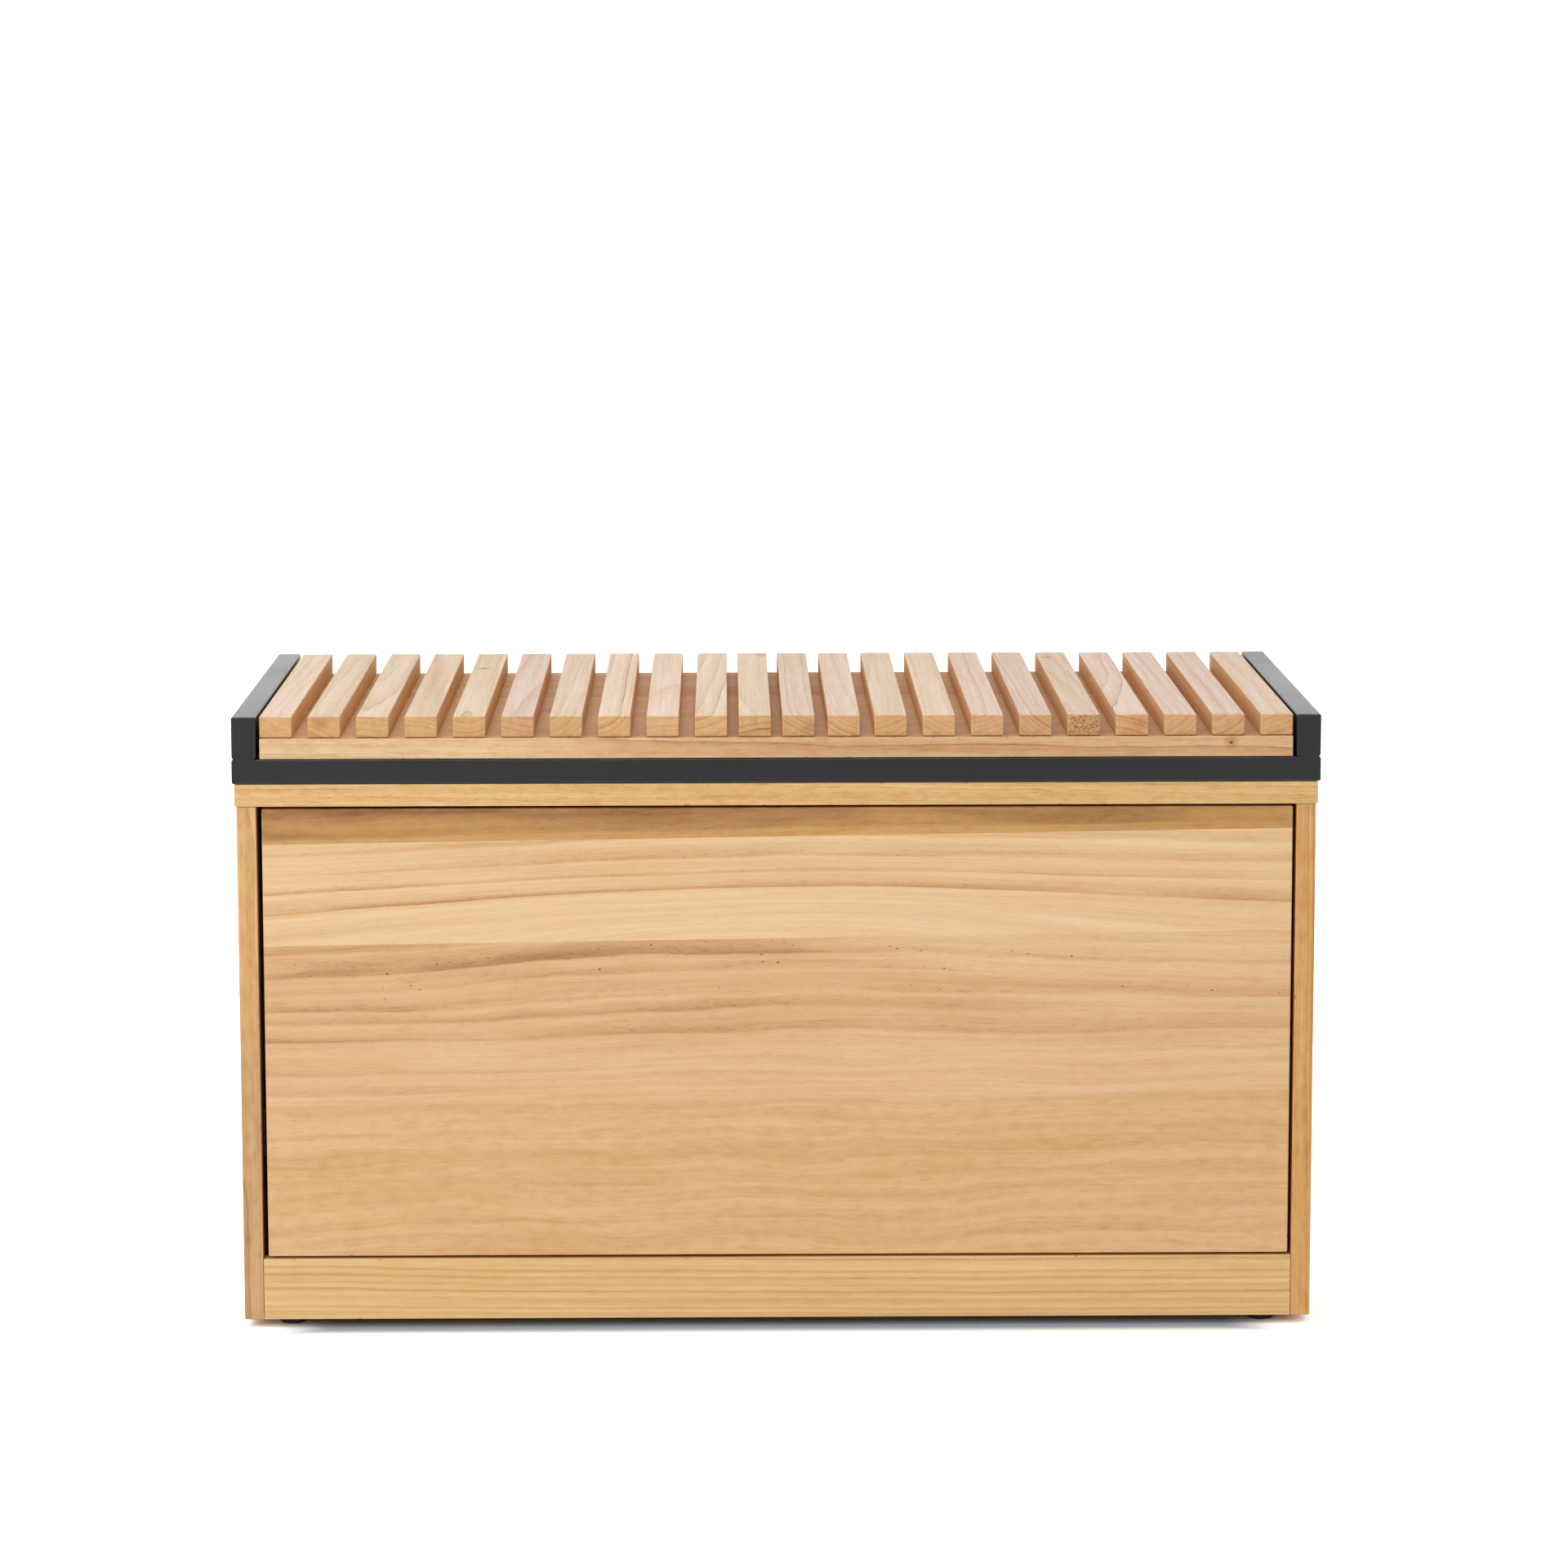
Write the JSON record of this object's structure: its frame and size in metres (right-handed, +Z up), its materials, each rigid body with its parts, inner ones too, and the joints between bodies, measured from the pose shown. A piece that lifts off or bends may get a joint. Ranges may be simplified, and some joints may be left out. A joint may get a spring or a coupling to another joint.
{
  "type": "storage box",
  "caption": "Wooden storage box with a slatted seat held in a dark metal frame and one wide handle-less drawer on telescopic runners.",
  "frame": {"origin": "on the ground, under the middle of the box", "axes": "+Z up, +X to the right of someone facing the drawer, the drawer opens towards -Y"},
  "size_m": [1, 0.5, 0.5739],
  "materials": {
    "carcass_wood": "satin oiled, honey coloured",
    "front_wood": "satin oiled, edge-glued staves",
    "seat_wood": "bare sanded, pale",
    "drawer_wood": "sealed, pale",
    "coated_metal": "fine satin powder coat, anthracite",
    "zinc_steel": "bright zinc",
    "black_steel": "thin black coat, satin",
    "dark_plastic": "dark brown, satin",
    "grey_plastic": "light grey, satin",
    "soft_tip": "matte"
  },
  "bodies": {
    "carcass": {"side_panel_left": "carcass_wood", "side_panel_right": "carcass_wood", "top_board": "carcass_wood", "front_bottom_rail": "carcass_wood", "back_bottom_rail": "carcass_wood", "bottom_board": "carcass_wood", "back_panel": "carcass_wood", "glide_front_left": "dark_plastic", "glide_front_right": "dark_plastic", "glide_back_left": "dark_plastic", "glide_back_right": "dark_plastic", "frame_tube_front": "coated_metal", "frame_tube_back": "coated_metal", "frame_tube_left": "coated_metal", "frame_tube_right": "coated_metal", "end_bar_left": "coated_metal", "end_bar_right": "coated_metal", "seat_board": "seat_wood", "slat_01": "seat_wood", "slat_02": "seat_wood", "slat_03": "seat_wood", "slat_04": "seat_wood", "slat_05": "seat_wood", "slat_06": "seat_wood", "slat_07": "seat_wood", "slat_08": "seat_wood", "slat_09": "seat_wood", "slat_10": "seat_wood", "slat_11": "seat_wood", "slat_12": "seat_wood", "slat_13": "seat_wood", "slat_14": "seat_wood", "slat_15": "seat_wood", "slat_16": "seat_wood", "slat_17": "seat_wood", "slat_18": "seat_wood", "slat_19": "seat_wood", "slat_20": "seat_wood", "slat_21": "seat_wood", "slat_22": "seat_wood", "runner_cabinet_left": "black_steel", "runner_cabinet_right": "black_steel", "latch_body_left": "grey_plastic", "latch_body_right": "grey_plastic"},
    "drawer": {"drawer_front": "front_wood", "drawer_inner_front": "drawer_wood", "drawer_side_left": "drawer_wood", "drawer_side_right": "drawer_wood", "drawer_back": "drawer_wood", "drawer_bottom": "drawer_wood", "front_screw_1": "zinc_steel", "front_screw_2": "zinc_steel", "front_screw_3": "zinc_steel", "front_screw_4": "zinc_steel", "runner_drawer_left": "black_steel", "runner_drawer_right": "black_steel"},
    "runner_middle_left": {"runner_middle_left": "black_steel"},
    "runner_middle_right": {"runner_middle_right": "black_steel"},
    "latch_plunger_left": {"latch_plunger_left": "soft_tip"},
    "latch_plunger_right": {"latch_plunger_right": "soft_tip"}
  },
  "joints": [
    {"name": "drawer_slide", "type": "slide", "parent": "carcass", "child": "drawer", "axis": [0, -1, 0], "range_m": [0, 0.38]},
    {"name": "runner_middle_left_slide", "type": "slide", "parent": "carcass", "child": "runner_middle_left", "axis": [0, -1, 0], "range_m": [0, 0.19]},
    {"name": "runner_middle_right_slide", "type": "slide", "parent": "carcass", "child": "runner_middle_right", "axis": [0, -1, 0], "range_m": [0, 0.19]},
    {"name": "latch_left_press", "type": "slide", "parent": "carcass", "child": "latch_plunger_left", "axis": [0, 1, 0], "range_m": [0, 0.004], "stiffness_N_per_m": 400},
    {"name": "latch_right_press", "type": "slide", "parent": "carcass", "child": "latch_plunger_right", "axis": [0, 1, 0], "range_m": [0, 0.004], "stiffness_N_per_m": 400}
  ],
  "couplings": [
    {"joint": "runner_middle_left_slide", "follows": "drawer_slide", "ratio": 0.5},
    {"joint": "runner_middle_right_slide", "follows": "drawer_slide", "ratio": 0.5}
  ]
}
